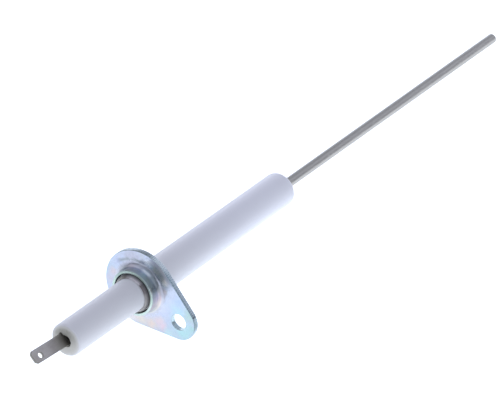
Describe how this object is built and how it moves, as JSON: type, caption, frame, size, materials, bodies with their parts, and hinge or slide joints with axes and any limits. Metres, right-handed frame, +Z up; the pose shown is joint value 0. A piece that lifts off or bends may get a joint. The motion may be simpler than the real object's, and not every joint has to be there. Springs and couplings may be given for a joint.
{
  "type": "flame sensor probe",
  "caption": "Flame rod in a two-diameter ceramic insulator with a drawn teardrop mounting flange and a flat push-on terminal tab.",
  "frame": {"origin": "on the probe's axis, in the plane of the flange's mounting face", "axes": "+X along the axis towards the rod's flame tip, +Z up with the flange's lower straight edge within 2 degrees of level, so the lobe points to -Y and 23 degrees down"},
  "size_m": [0.279, 0.0373, 0.0284],
  "materials": {
    "zinc_plate": "pressed steel, zinc plated with a clear iridescent passivation",
    "alumina": "satin white alumina",
    "heat_alloy": "drawn heat-resisting alloy wire, dull grey",
    "tab_steel": "dull grey stamped strip",
    "packing": "matt beige-grey pressed packing",
    "cement": "matt refractory cement"
  },
  "bodies": {
    "root": {"mounting_flange": "zinc_plate", "ceramic_insulator": "alumina", "electrode_rod": "heat_alloy", "terminal_tab": "tab_steel", "front_packing_ring": "packing", "rear_packing_ring": "packing", "flange_cement": "cement", "flame_end_cement": "cement", "terminal_end_cement": "cement"}
  },
  "joints": []
}
